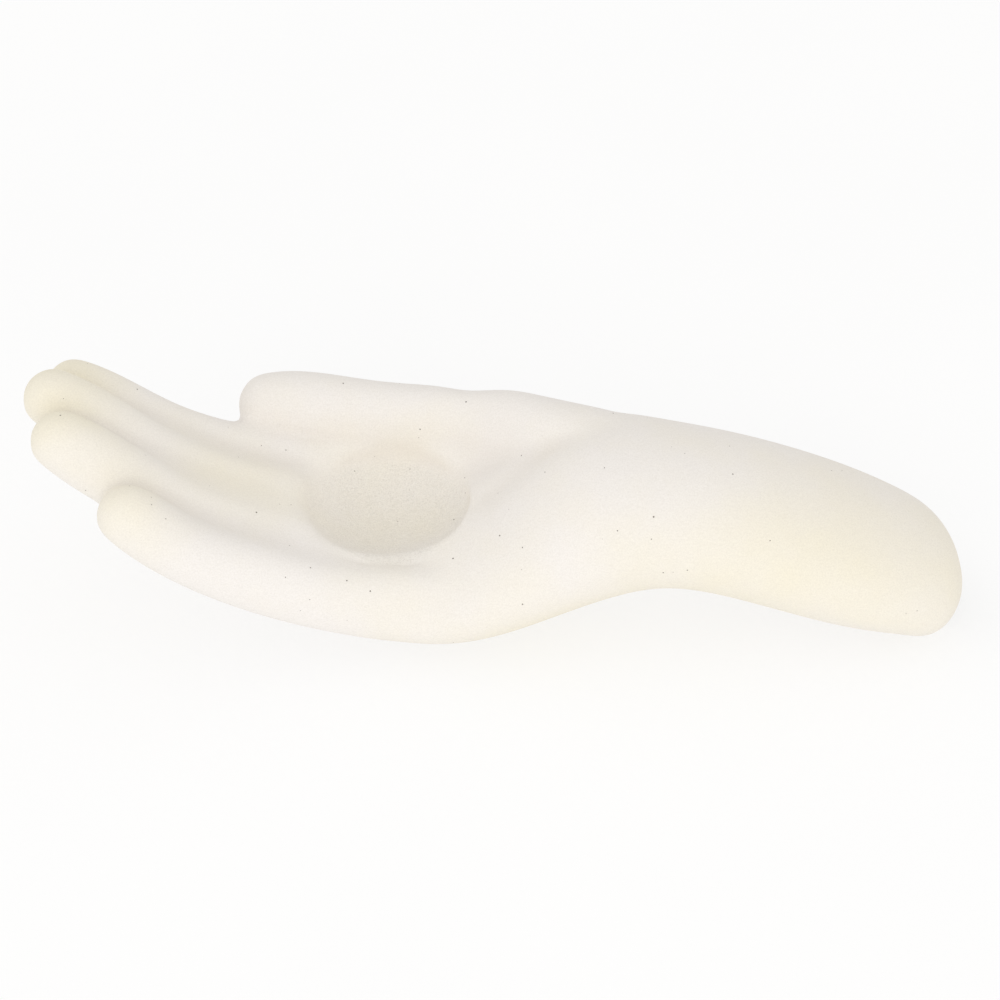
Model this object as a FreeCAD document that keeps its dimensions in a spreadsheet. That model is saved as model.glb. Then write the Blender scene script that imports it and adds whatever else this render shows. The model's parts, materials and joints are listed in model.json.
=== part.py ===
import FreeCAD, Part
import math
import os
import re

import Sketcher
from FreeCAD import Placement, Rotation, Vector

# A passive right hand with wrist and forearm: one soft foam moulding over a hidden metal skeleton.
# Frame: +Z up with the palm facing up, -X towards the fingertips and +Y towards the thumb. The origin is the
# middle of the underside of the part's box. Sizes in millimetres.

doc = FreeCAD.newDocument("PassiveHand")
sheet = doc.addObject("Spreadsheet::Sheet", "Sizes")

SIZES = {
    # foam body
    "girth": 1.0,  # scales every cross-section of the limb
    "recess_radius": 29.0,
    "recess_depth": 11.0,
    "recess_rim": 43.0,  # height of the rim of the palm recess
    "flex_wrist": 16.0,  # half length of the foam that bends at the wrist
    "flex_knuckle": 9.0,
    "foam_gap": 0.4,  # room between the foam and the skeleton
    # forearm tube and what plugs into it
    "tube_radius": 12.5,
    "tube_bore": 10.5,
    "tube_start": 18.0,  # distances along the forearm count from the wrist pin
    "tube_end": 88.0,
    "plug_radius": 10.4,
    "fork_plug_end": 38.0,
    "fork_screw_at": 28.0,
    "housing_screw_at": 81.0,
    "collar_start": 52.0,
    "collar_length": 9.0,
    "collar_radius": 17.0,
    "collar_notch": 2.5,
    # wrist hinge
    "cheek_radius": 11.0,
    "cheek_thickness": 5.0,
    "fork_gap": 5.3,  # half the gap between the cheeks
    "tongue_half": 4.0,
    "eye_radius": 9.0,
    "pin_radius": 4.0,
    "pin_bore": 4.05,
    "washer_thickness": 1.2,
    "spring_radius": 8.0,
    "spring_thickness": 0.9,
    "spring_rise": 0.4,
    "nut_radius": 7.5,
    "nut_height": 7.5,
    # rotation unit
    "housing_radius": 14.5,
    "housing_end": 106.0,
    "housing_mouth": 74.0,
    "spigot_radius": 8.0,
    "spigot_bore": 8.08,
    "spigot_tip": 70.0,
    "spigot_end": 108.0,
    "spigot_flange": 12.1,
    "flange_start": 97.1,
    "thread_radius": 5.25,  # minor radius of the M12 x 1.5 arm stud thread
    "thread_depth": 17.0,
    # palm plate
    "plate_half_width": 18.0,
    "plate_half": 1.5,
    "leg_start": 14.0,
    # knuckle hinge
    "knuckle_eye": 6.0,
    "knuckle_pin": 2.5,
    "knuckle_bore": 2.55,
    "barrel_half": 8.8,
    "lug_start": 10.0,
    "lug_end": 14.0,
    "leaf_half_width": 34.0,
    "leaf_start": 14.5,
    "leaf_length": 8.5,
    "wire_radius": 1.5,
    "cap_radius": 3.0,
    # screws by thread: shank radius, and the radius of the hole round it
    "fine_screw": 1.5,
    "fine_hole": 1.55,
    "screw": 2.0,
    "screw_hole": 2.05,
    "stout_screw": 2.5,
    "stout_hole": 2.55,
}
for number, (alias, value) in enumerate(SIZES.items(), start=1):
    sheet.set(f"A{number}", alias)
    sheet.set(f"B{number}", str(value))
    sheet.setAlias(f"B{number}", alias)
doc.recompute()

# Hinge points and the slopes of the skeleton, in degrees.
WRIST = Vector(50, 0, 45.5)
KNUCKLES = Vector(-103, 0, 47)
PALM_BEND = Vector(10, 0, 17)  # where the palm plate levels out
PALM_RISE = Vector(-52, 0, 17)  # where it starts to climb to the knuckles
FOREARM_DROOP = 15.4
FINGER_CLIMB = 35.0


def slope(start, end):
    """Climb in degrees of the line from start to end, walked towards the fingertips."""
    return math.degrees(math.atan2(end.z - start.z, start.x - end.x))


def towards_fingers(point, climb):
    """Frame whose X axis runs to the fingertips and climbs, and whose Z axis is the plate's upper side."""
    return Placement(point, Rotation(Vector(0, 1, 0), climb) * Rotation(Vector(0, 0, 1), 180))


PALM_LEG = towards_fingers(WRIST, slope(WRIST, PALM_BEND))
PALM_FLAT = towards_fingers(PALM_BEND, 0)
KNUCKLE_LEG = towards_fingers(KNUCKLES, slope(PALM_RISE, KNUCKLES))
FINGER_LEG = towards_fingers(KNUCKLES, FINGER_CLIMB)
FOREARM = Placement(WRIST, Rotation(Vector(0, 1, 0), 90 + FOREARM_DROOP))  # Z along the tube
CROSSWISE = Rotation(Vector(1, 0, 0), -90)  # Z along +Y
WRIST_PIN = Placement(WRIST, CROSSWISE)
KNUCKLE_PIN = Placement(KNUCKLES, CROSSWISE)


def shifted(frame, x=0.0, y=0.0, z=0.0, turn=None):
    """A place inside a frame, turned if asked by (axis, degrees)."""
    rotation = Rotation(Vector(*turn[0]), turn[1]) if turn else Rotation()
    return frame * Placement(Vector(x, y, z), rotation)


# ---------------------------------------------------------------- building blocks


def bound(expression):
    """Points each word of an expression at its cell."""
    return re.sub(r"[a-z][a-z_]+", lambda word: "Sizes." + word.group(), expression)


def hold(thing, name, expression):
    thing.setExpression(name, bound(expression))


def sketch_on(body, role, offset="0"):
    """Sketch on one of the body's own origin planes, moved along the plane's normal."""
    sketch = body.newObject("Sketcher::SketchObject", body.Name + "_sketch")
    support = next(feature for feature in body.Origin.OriginFeatures if feature.Role == role)
    sketch.AttachmentSupport = (support, "")
    sketch.MapMode = "FlatFace"
    hold(sketch, "AttachmentOffset.Base.z", offset)
    return sketch


def pinned(sketch, edge, end, across, up):
    """Holds one point of an edge at two bound distances from the sketch's origin."""
    for kind, expression in (("DistanceX", across), ("DistanceY", up)):
        index = sketch.addConstraint(Sketcher.Constraint(kind, -1, 1, edge, end, 1.0))
        hold(sketch, f"Constraints[{index}]", expression)


def circle(sketch, radius, across="0", up="0"):
    edge = sketch.addGeometry(Part.Circle(Vector(1, 1, 0), Vector(0, 0, 1), 1.0))
    index = sketch.addConstraint(Sketcher.Constraint("Radius", edge, 1.0))
    hold(sketch, f"Constraints[{index}]", radius)
    pinned(sketch, edge, 3, across, up)


def outline(sketch, corners):
    """Closed polygon with every corner bound to the sheet."""
    count = len(corners)
    first = sketch.GeometryCount

    def start(index):
        angle = 2 * math.pi * index / count
        return Vector(10 * math.cos(angle), 10 * math.sin(angle), 0)

    for index in range(count):
        sketch.addGeometry(Part.LineSegment(start(index), start(index + 1)))
    for index in range(count):
        following = first + (index + 1) % count
        sketch.addConstraint(Sketcher.Constraint("Coincident", first + index, 2, following, 1))
    for index, (across, up) in enumerate(corners):
        pinned(sketch, first + index, 1, across, up)


def rectangle(sketch, left, bottom, right, top):
    outline(sketch, [(left, bottom), (right, bottom), (right, top), (left, top)])


def feature(body, kind, sketch, length, symmetric=False, backwards=False):
    """Pad or Pocket of a sketch."""
    made = body.newObject("PartDesign::" + kind, f"{body.Name}_{kind.lower()}")
    made.Profile = sketch
    made.Type = "Length"
    made.SideType = "Symmetric" if symmetric else "One side"
    made.Reversed = backwards
    hold(made, "Length", length)
    return made


def new_body(name, frame):
    body = doc.addObject("PartDesign::Body", name)
    body.Label = name
    body.Placement = frame
    return body


def turned(name, frame, corners):
    """Body turned on its Z axis from an outline of (radius, height) corners."""
    body = new_body(name, frame)
    sketch = sketch_on(body, "XZ_Plane")
    outline(sketch, corners)
    turning = body.newObject("PartDesign::Revolution", name + "_turning")
    turning.Profile = sketch
    turning.ReferenceAxis = (sketch, ["V_Axis"])
    turning.Angle = 360
    return body


def ring_outline(inner, outer, bottom, top):
    return [(inner, bottom), (outer, bottom), (outer, top), (inner, top)]


def box(name, frame, length, width, height, x="0", y="0", z="0"):
    """Block placed in a frame; every size and corner offset may be bound."""
    block = doc.addObject("Part::Box", name)
    for prop, expression in (("Length", length), ("Width", width), ("Height", height)):
        hold(block, prop, expression)
    return moved(block, frame, x, y, z)


def rod(name, frame, radius, length, x="0", y="0", z="0"):
    """Cylinder along the frame's Z axis."""
    bar = doc.addObject("Part::Cylinder", name)
    hold(bar, "Radius", radius)
    hold(bar, "Height", length)
    return moved(bar, frame, x, y, z)


def moved(thing, frame, x, y, z):
    """Puts a primitive at a bound offset inside a frame, by wrapping it in a placed compound."""
    for axis, expression in zip("xyz", (x, y, z)):
        hold(thing, f"Placement.Base.{axis}", expression)
    holder = doc.addObject("Part::Compound", thing.Name + "_placed")
    holder.Links = [thing]
    holder.Placement = frame
    return holder


def fused(name, pieces):
    joined = doc.addObject("Part::MultiFuse", name)
    joined.Shapes = pieces
    joined.Label = name
    return joined


def cut(name, base, tools):
    """Base less all the tools."""
    result = doc.addObject("Part::Cut", name)
    result.Base = base
    result.Tool = tools[0] if len(tools) == 1 else fused(name + "_tools", tools)
    result.Label = name
    return result


def group(name, pieces):
    """Separate identical solids that share one node."""
    set_of = doc.addObject("Part::Compound", name)
    set_of.Links = pieces
    set_of.Label = name
    return set_of


def screw(name, frame, shank, length, head=None, height="0"):
    """Socket screw: the frame's Z axis points out of its head, and Z = 0 is under the head."""
    top = [(head, "0"), (head, height), ("0", height)] if head else [("0", "0")]
    corners = [("0", "-" + length), (shank, "-" + length), (shank, "0")] + top
    body = turned(name, frame, corners)
    socket = sketch_on(body, "XY_Plane", height)
    corners = []
    for step in range(6):
        angle = math.radians(60 * step)
        corners.append((f"0.55 * {shank} * {math.cos(angle):.4f}", f"0.55 * {shank} * {math.sin(angle):.4f}"))
    outline(socket, corners)
    feature(body, "Pocket", socket, shank)
    return body


# ---------------------------------------------------------------- foam body

# Stations along each limb: (x, y, z, half width, half height, climb towards the fingertips in degrees).
ARM = [
    (-84, 0, 39.5, 37.0, 9.5, 22),
    (-62, 0, 30.0, 39.0, 13.0, 12),
    (-40, 0, 23.8, 41.0, 17.8, 4),
    (-18, 0, 22.3, 42.0, 20.7, 0),
    (4, 0, 28.4, 41.0, 23.2, -12),
    (22, 0, 37.3, 39.0, 25.6, -20),
    (42, 0, 45.0, 36.5, 27.5, -12),
    (67, -1, 45.5, 34.0, 25.5, 6),
    (96, -2, 38.5, 34.5, 24.5, 16),
    (125, -4, 29.3, 34.5, 22.8, 20),
    (147, -5, 20.9, 30.5, 19.7, 28),
]
ARM_END = 20.5  # reach of the rounded forearm end
FINGERS = {
    "index": [
        (-5, 27, 26, 10, 12.5, 0), (-40, 30, 30.5, 11, 13, 5), (-76, 31, 39.5, 11, 12, 20),
        (-97, 31, 45.7, 10.5, 11, 26), (-120, 31, 55.8, 10.5, 10.8, 30), (-147.5, 31, 73.3, 10, 10.3, 32),
    ],
    "middle": [
        (-5, 9, 24, 10, 12.5, 0), (-40, 10.5, 28, 11, 13, 5), (-76, 10.5, 38, 11, 12.5, 20),
        (-97, 10.5, 46, 11, 11.5, 28), (-120, 10.5, 59, 11, 11.2, 32), (-151.3, 10.5, 83, 10.3, 10.8, 36),
    ],
    "ring": [
        (-5, -9, 23, 10, 12.5, 0), (-40, -10.5, 27, 11, 13, 5), (-76, -10.5, 36.5, 11, 13, 22),
        (-97, -10.5, 45, 11, 12, 30), (-120, -10.5, 59.5, 11, 11.5, 35), (-146.3, -10.5, 80.5, 10.3, 10.8, 38),
    ],
    "little": [
        (-5, -27, 23, 10, 12.5, 0), (-40, -30, 25.5, 11, 14, 5), (-70, -31, 33.5, 11, 13, 20),
        (-97, -31, 45, 11, 12, 30), (-111, -31, 54, 11, 11.4, 36), (-122.8, -31, 64.5, 10.3, 10.9, 40),
    ],
}
FINGER_WEB = [
    (-30, 0, 28, 40, 12, 0), (-60, 0, 33, 40, 11.5, 14), (-90, 0, 43, 40, 10.5, 26),
    (-115, 0, 55.5, 38, 9.5, 33), (-127, 0, 63, 35, 8.5, 35),
]
THUMB = [
    (70, 2, 44, 22, 23, 0), (45, 9, 49, 22, 22.5, 0), (24, 19, 51, 20, 21, 0), (4, 32, 50, 15, 18.5, 0),
    (-16, 41, 48.5, 12.5, 16, 0), (-44, 44.5, 50.5, 12, 14, 0), (-80, 46, 54.7, 11.6, 12.1, 0),
]
THENAR_WEB = [
    (40, 12, 42, 20, 21, 0), (10, 23, 38, 16, 20, 0), (-20, 33, 34, 13, 16, 0),
    (-50, 37, 36.5, 10, 14, 0), (-70, 39, 42.5, 8, 11, 0),
]
TIP_ANGLES = (25, 48, 66, 80)  # steps round a tip, towards its pole


def ring_at(name, station, scale=1.0, forward=0.0, towards=-1):
    """Elliptical cross-section at a station, shrunk and moved forward for the rings round a tip."""
    x, y, z, half_width, half_height, climb = station
    tall = half_height > half_width
    ellipse = doc.addObject("Part::Ellipse", name)
    hold(ellipse, "MajorRadius", f"{max(half_width, half_height) * scale} * girth")
    hold(ellipse, "MinorRadius", f"{min(half_width, half_height) * scale} * girth")
    lean = Rotation(Vector(0, 1, 0), climb)
    ahead = lean.multVec(Vector(towards, 0, 0))
    upright = lean * Rotation(Vector(0, 1, 0), -90)  # major axis on the limb's height
    flat = upright * Rotation(Vector(0, 0, 1), 90)  # major axis on the limb's width
    ellipse.Placement = Placement(Vector(x, y, z) + ahead * forward, upright if tall else flat)
    return ellipse


def limb(name, stations, towards=-1, reach=None):
    """Loft through the stations, closed by a rounded tip."""
    rings = [ring_at(f"{name}_ring", station) for station in stations]
    tip = stations[-1]
    for angle in map(math.radians, TIP_ANGLES):
        forward = (reach or tip[4]) * math.sin(angle)
        rings.append(ring_at(f"{name}_tip", tip, math.cos(angle), forward, towards))
    loft = doc.addObject("Part::Loft", name + "_limb")
    loft.Sections = rings
    loft.Solid = True
    loft.MaxDegree = 3  # a higher degree swings wide between uneven stations
    return loft


def palm_recess():
    """Dished cutter: a sphere kept inside an upright cylinder."""
    spot = Placement(Vector(-37.5, 3.5, 0), Rotation())
    ball = doc.addObject("Part::Sphere", "recess_ball")
    hold(ball, "Radius", "(recess_radius ^ 2 + recess_depth ^ 2) / (2 * recess_depth)")
    sphere = moved(ball, spot, "0", "0", "recess_rim - recess_depth + (recess_radius ^ 2 + recess_depth ^ 2)"
                                         " / (2 * recess_depth)")
    rim = rod("recess_rim", spot, "recess_radius", "45", z="recess_rim - 1.2 * recess_depth")
    dish = doc.addObject("Part::MultiCommon", "recess")
    dish.Shapes = [sphere, rim]
    return dish


def outer_form():
    limbs = [limb("arm", ARM, towards=1, reach=ARM_END), limb("thumb", THUMB)]
    limbs += [limb(name, stations) for name, stations in FINGERS.items()]
    limbs += [limb("finger_web", FINGER_WEB), limb("thenar_web", THENAR_WEB)]
    return cut("outer_form", fused("limbs", limbs), [palm_recess()])


def foam_part(name, outer, near, far, hollows):
    """Slice of the outer form between two cross planes, less the hollows round the skeleton."""
    whole = Placement()
    slab = box(name + "_slab", whole, f"({far}) - ({near})", "200", "200", x=near, y="-100", z="-50")
    piece = doc.addObject("Part::MultiCommon", name + "_slice")
    piece.Shapes = [outer, slab]
    return cut(name, piece, hollows)


# ---------------------------------------------------------------- forearm skeleton


def forearm_tube():
    body = new_body("forearm_tube", FOREARM)
    sketch = sketch_on(body, "XY_Plane", "tube_start")
    circle(sketch, "tube_radius")
    circle(sketch, "tube_bore")
    feature(body, "Pad", sketch, "tube_end - tube_start")
    holes = sketch_on(body, "YZ_Plane")
    circle(holes, "stout_hole", up="fork_screw_at")
    circle(holes, "screw_hole", up="housing_screw_at")
    feature(body, "Pocket", holes, "4 * tube_radius", symmetric=True)
    return body


TUBE_SCREW_TOP = 12.2  # just under the tube's outside


def anchor_collar():
    """Notched collar that keys the foam to the tube."""
    body = new_body("anchor_collar", FOREARM)
    sketch = sketch_on(body, "XY_Plane", "collar_start")
    circle(sketch, "collar_radius")
    circle(sketch, "tube_radius + 0.05")
    feature(body, "Pad", sketch, "collar_length")
    notch = sketch_on(body, "XY_Plane", "collar_start")
    circle(notch, "collar_notch", across="collar_radius")
    first = feature(body, "Pocket", notch, "collar_length", backwards=True)
    axis = next(item for item in body.Origin.OriginFeatures if item.Role == "Z_Axis")
    notches = body.newObject("PartDesign::PolarPattern", "collar_notches")
    notches.Originals = [first]
    notches.Axis = (axis, [""])
    notches.Occurrences = 6
    notches.Angle = 360
    body.Tip = notches
    hole = sketch_on(body, "XZ_Plane")
    circle(hole, "screw_hole", up="collar_start + collar_length / 2")
    feature(body, "Pocket", hole, "collar_radius + 2", backwards=True)
    return body


def wrist_fork():
    body = new_body("wrist_fork", FOREARM)
    cheeks = sketch_on(body, "XZ_Plane")
    circle(cheeks, "cheek_radius")
    width = "2 * (fork_gap + cheek_thickness)"
    feature(body, "Pad", cheeks, width, symmetric=True)
    bars = sketch_on(body, "XZ_Plane")
    rectangle(bars, "-cheek_radius", "0", "cheek_radius", "tube_start - 3")
    feature(body, "Pad", bars, width, symmetric=True)
    disc = sketch_on(body, "XY_Plane", "tube_start - 4")
    circle(disc, "tube_radius")
    feature(body, "Pad", disc, "4")
    plug = sketch_on(body, "XY_Plane", "tube_start")
    circle(plug, "plug_radius")
    feature(body, "Pad", plug, "fork_plug_end - tube_start")
    gap = sketch_on(body, "XZ_Plane")
    rectangle(gap, "-2 * cheek_radius", "-2 * cheek_radius", "2 * cheek_radius", "tube_start - 5")
    feature(body, "Pocket", gap, "2 * fork_gap", symmetric=True)
    bore = sketch_on(body, "XZ_Plane")
    circle(bore, "pin_bore")
    feature(body, "Pocket", bore, "2 * " + width, symmetric=True)
    screws = sketch_on(body, "YZ_Plane")
    circle(screws, "stout_hole", up="fork_screw_at")
    feature(body, "Pocket", screws, "4 * tube_radius", symmetric=True)
    return body


def across_tube(name, along, shank, length):
    """Two headless screws through the tube wall, one from above and one from below."""
    pieces = []
    for side in (1, -1):
        facing = Placement(Vector(side * TUBE_SCREW_TOP, 0, 0), Rotation(Vector(0, 1, 0), side * 90))
        pieces.append(screw(f"{name}_{side}", shifted(FOREARM, z=SIZES[along]) * facing, shank, length))
    return group(name, pieces)


def from_little_side(along, depth):
    """Frame beside the forearm, on the little-finger side, whose Z axis points out."""
    return shifted(FOREARM, y=-depth, z=along, turn=((1, 0, 0), 90))


def collar_screw():
    middle = SIZES["collar_start"] + SIZES["collar_length"] / 2
    return screw("collar_screw", from_little_side(middle, SIZES["collar_radius"] - 0.2), "screw", "4.1")


def wrist_pin():
    """Shoulder bolt with its head on the little-finger side."""
    head = "fork_gap + cheek_thickness"
    tip = "fork_gap + cheek_thickness + nut_height + 4.5"
    body = turned("wrist_pin", WRIST_PIN, [
        ("0", f"-({head} + 4.6)"), ("6.5", f"-({head} + 4.6)"), ("6.5", f"-({head} + 0.1)"),
        ("pin_radius", f"-({head} + 0.1)"), ("pin_radius", tip), ("0", tip),
    ])
    socket = sketch_on(body, "XY_Plane", f"-({head} + 4.6)")
    circle(socket, "2.5")
    feature(body, "Pocket", socket, "2.5", backwards=True)
    return body


def friction_washers():
    inner, outer = "tongue_half + 0.05", "tongue_half + 0.05 + washer_thickness"
    return group("friction_washers", [
        turned("washer_thumb_side", WRIST_PIN, ring_outline("pin_bore + 0.05", "eye_radius", inner, outer)),
        turned("washer_little_side", WRIST_PIN,
               ring_outline("pin_bore + 0.05", "eye_radius", f"-({outer})", f"-({inner})")),
    ])


def disc_springs():
    """Two conical springs in series under the nut, their rims touching."""
    base = "fork_gap + cheek_thickness + 0.05"
    bore, rim, thick, rise = "pin_bore + 0.1", "spring_radius", "spring_thickness", "spring_rise"
    lower = [
        (bore, base), (rim, f"{base} + {rise}"), (rim, f"{base} + {rise} + {thick}"), (bore, f"{base} + {thick}"),
    ]
    top = f"{base} + 2 * {rise} + 2 * {thick} + 0.05"
    upper = [(bore, f"{top} - {thick}"), (rim, f"{top} - {rise} - {thick}"), (rim, f"{top} - {rise}"), (bore, top)]
    return group("disc_springs", [
        turned("disc_spring_inner", WRIST_PIN, lower), turned("disc_spring_outer", WRIST_PIN, upper),
    ])


def hexagon(name, frame, radius, height, z):
    prism = doc.addObject("Part::Prism", name)
    prism.Polygon = 6
    hold(prism, "Circumradius", radius)
    hold(prism, "Height", height)
    return moved(prism, frame, "0", "0", z)


def wrist_nut():
    base = "fork_gap + cheek_thickness + 0.15 + 2 * spring_rise + 2 * spring_thickness"
    block = hexagon("wrist_nut_block", WRIST_PIN, "nut_radius", "nut_height", base)
    bore = rod("wrist_nut_bore", WRIST_PIN, "pin_bore", "nut_height + 2", z=f"{base} - 1")
    return cut("wrist_nut", block, [bore])


def rotation_housing():
    body = turned("rotation_housing", FOREARM, [
        ("spigot_bore", "housing_mouth"), ("plug_radius", "housing_mouth"), ("plug_radius", "tube_end"),
        ("housing_radius", "tube_end"), ("housing_radius", "housing_end"), ("spigot_flange + 0.08", "housing_end"),
        ("spigot_flange + 0.08", "flange_start - 0.1"), ("spigot_bore", "flange_start - 0.1"),
        ("spigot_bore", "tube_end + 8"), ("spigot_bore + 3", "tube_end + 8"), ("spigot_bore + 3", "tube_end + 1"),
        ("spigot_bore", "tube_end + 1"),
    ])
    plug_holes = sketch_on(body, "YZ_Plane")
    circle(plug_holes, "screw_hole", up="housing_screw_at")
    feature(body, "Pocket", plug_holes, "4 * tube_radius", symmetric=True)
    side_hole = sketch_on(body, "XZ_Plane")
    circle(side_hole, "stout_hole", up="tube_end + 4.5")
    feature(body, "Pocket", side_hole, "housing_radius + 2", backwards=True)
    return body


def friction_ring():
    """Split nylon ring that grips the spigot."""
    body = turned("friction_ring", FOREARM, ring_outline(
        "spigot_bore", "spigot_bore + 2.9", "tube_end + 1.1", "tube_end + 7.9"))
    slit = sketch_on(body, "XY_Plane", "tube_end")
    rectangle(slit, "0", "-1", "housing_radius", "1")
    feature(body, "Pocket", slit, "10", backwards=True)
    return body


def friction_screw():
    """Sets how hard the nylon ring grips."""
    beside = from_little_side(SIZES["tube_end"] + 4.5, SIZES["housing_radius"] - 0.2)
    return screw("friction_screw", beside, "stout_screw", "3.1")


def rotation_spigot():
    """Turned shaft with a groove for its ring, a flange, and the threaded hole for the arm stud."""
    near, far, bottom = "spigot_tip + 1.2", "spigot_tip + 2.4", "spigot_end - thread_depth"
    return turned("rotation_spigot", FOREARM, [
        ("0", "spigot_tip"), ("spigot_radius", "spigot_tip"), ("spigot_radius", near), ("spigot_radius - 0.9", near),
        ("spigot_radius - 0.9", far), ("spigot_radius", far), ("spigot_radius", "flange_start"),
        ("spigot_flange", "flange_start"), ("spigot_flange", "spigot_end"), ("thread_radius", "spigot_end"),
        ("thread_radius", bottom), ("0", bottom),
    ])


def thrust_washer():
    return turned("thrust_washer", FOREARM, ring_outline(
        "spigot_bore", "tube_bore - 0.3", "housing_mouth - 1.45", "housing_mouth - 0.05"))


def retaining_ring():
    """Open ring in the spigot's groove."""
    body = turned("retaining_ring", FOREARM, ring_outline(
        "spigot_radius - 0.85", "tube_bore - 0.7", "spigot_tip + 1.25", "spigot_tip + 2.35"))
    gap = sketch_on(body, "XY_Plane", "spigot_tip")
    rectangle(gap, "0", "-2.5", "tube_bore", "2.5")
    feature(body, "Pocket", gap, "4", backwards=True)
    return body


# ---------------------------------------------------------------- hand skeleton

TONGUE_SCREWS = (8, 18)  # along the tongue's foot
BRACKET_SCREWS = ((-26, -12), (-26, 12))  # along and across the knuckle leg
THUMB_BLOCK = Vector(0, 12, 18.6)
THUMB_SCREWS = (-5, 5)  # along the block
CLAMP_SCREWS = (-20.75, 0, 20.75)  # across the fingers
CLAMP_SINK = "wire_radius + 1.25"  # height of the floor of each sunk hole in the clamp bar
FOAM_KEYS = ((28, -9), (28, 9), (46, -9), (46, 9))  # holes that the foam fills, along and across the plate


def wrist_tongue():
    """Eye on the wrist pin, with a foot under the palm plate."""
    sideways = shifted(PALM_LEG, turn=((1, 0, 0), -90))
    eye = rod("tongue_eye", sideways, "eye_radius", "2 * tongue_half", z="-tongue_half")
    shank = box("tongue_shank", PALM_LEG, "leg_start - 0.5", "2 * tongue_half", "10",
                y="-tongue_half", z="-5")
    foot = box("tongue_foot", PALM_LEG, "26", "24", "5 - plate_half - 0.1",
               x="leg_start - 2", y="-12", z="-5")
    bore = rod("tongue_bore", sideways, "pin_bore", "4 * tongue_half", z="-2 * tongue_half")
    holes = [
        rod(f"tongue_hole_{at}", PALM_LEG, "screw_hole", "6", x=f"leg_start + {at}", z="-6")
        for at in TONGUE_SCREWS
    ]
    return cut("wrist_tongue", fused("tongue_blank", [eye, shank, foot]), [bore] + holes)


def tongue_screws():
    places = [shifted(PALM_LEG, x=SIZES["leg_start"] + at, z=1.55) for at in TONGUE_SCREWS]
    return group("tongue_screws", [
        screw(f"tongue_screw_{number}", place, "screw", "6.4", "3.8", "2.2")
        for number, place in enumerate(places)
    ])


def palm_plate():
    """Strip folded twice: down from the wrist, level under the palm, up to the knuckles."""
    width, half = "2 * plate_half_width", "plate_half_width"
    thick = "2 * plate_half"
    first = box("plate_wrist_leg", PALM_LEG, f"{(PALM_BEND - WRIST).Length} - leg_start", width, thick,
                x="leg_start", y="-" + half, z="-plate_half")
    level = box("plate_level", PALM_FLAT, f"{PALM_BEND.x - PALM_RISE.x}", width, thick,
                y="-" + half, z="-plate_half")
    third = box("plate_knuckle_leg", KNUCKLE_LEG, f"{(KNUCKLES - PALM_RISE).Length} - leg_start", width, thick,
                x=f"-{(KNUCKLES - PALM_RISE).Length}", y="-" + half, z="-plate_half")
    bends = [
        rod(f"plate_bend_{number}", Placement(point, CROSSWISE), "plate_half", width, z="-" + half)
        for number, point in enumerate((PALM_BEND, PALM_RISE))
    ]
    holes = [
        rod(f"plate_tongue_hole_{at}", PALM_LEG, "screw_hole", "8", x=f"leg_start + {at}", z="-4")
        for at in TONGUE_SCREWS
    ]
    holes += [
        rod(f"plate_bracket_hole_{number}", KNUCKLE_LEG, "screw_hole", "8", x=f"{x}", y=f"{y}", z="-4")
        for number, (x, y) in enumerate(BRACKET_SCREWS)
    ]
    holes += [
        rod(f"plate_thumb_hole_{number}", Placement(THUMB_BLOCK, Rotation()), "fine_hole", "8",
            x=f"{x}", z="-6")
        for number, x in enumerate(THUMB_SCREWS)
    ]
    holes += [
        rod(f"plate_foam_key_{number}", PALM_FLAT, "5", "8", x=f"{x}", y=f"{y}", z="-4")
        for number, (x, y) in enumerate(FOAM_KEYS)
    ]
    return cut("palm_plate", fused("plate_blank", [first, level, third] + bends), holes)


def knuckle_bracket():
    """Base screwed on top of the palm plate, with two lugs round the knuckle pin."""
    top = "plate_half + 0.1"
    base = box("bracket_base", KNUCKLE_LEG, "25", "36", "2.8", x="-34", y="-18", z=top)
    sideways = shifted(KNUCKLE_LEG, turn=((1, 0, 0), -90))
    solids = [base]
    for side, near in (("right", "lug_start"), ("left", "-lug_end")):
        width = "lug_end - lug_start"
        lug = box(f"bracket_lug_{side}", KNUCKLE_LEG, "13.3", width, "8.4", x="-13.3", y=near, z="-4")
        solids.append(lug)
        solids.append(rod(f"bracket_eye_{side}", sideways, "knuckle_eye", width, z=near))
    bore = rod("bracket_bore", sideways, "knuckle_bore", "4 * lug_end", z="-2 * lug_end")
    holes = [
        rod(f"bracket_hole_{number}", KNUCKLE_LEG, "screw_hole", "8", x=f"{x}", y=f"{y}")
        for number, (x, y) in enumerate(BRACKET_SCREWS)
    ]
    return cut("knuckle_bracket", fused("bracket_blank", solids), [bore] + holes)


def bracket_screws():
    return group("bracket_screws", [
        screw(f"bracket_screw_{number}", shifted(KNUCKLE_LEG, x=x, y=y, z=4.45), "screw", "6.5", "3.6", "2.0")
        for number, (x, y) in enumerate(BRACKET_SCREWS)
    ])


def knuckle_pin():
    """Headed pin with a groove for its clip."""
    return turned("knuckle_pin", KNUCKLE_PIN, [
        ("0", "-(lug_end + 2.6)"), ("knuckle_pin", "-(lug_end + 2.6)"), ("knuckle_pin", "-(lug_end + 1.4)"),
        ("knuckle_pin - 0.7", "-(lug_end + 1.4)"), ("knuckle_pin - 0.7", "-(lug_end + 0.4)"),
        ("knuckle_pin", "-(lug_end + 0.4)"), ("knuckle_pin", "lug_end + 0.05"), ("4", "lug_end + 0.05"),
        ("4", "lug_end + 1.6"), ("0", "lug_end + 1.6"),
    ])


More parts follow.
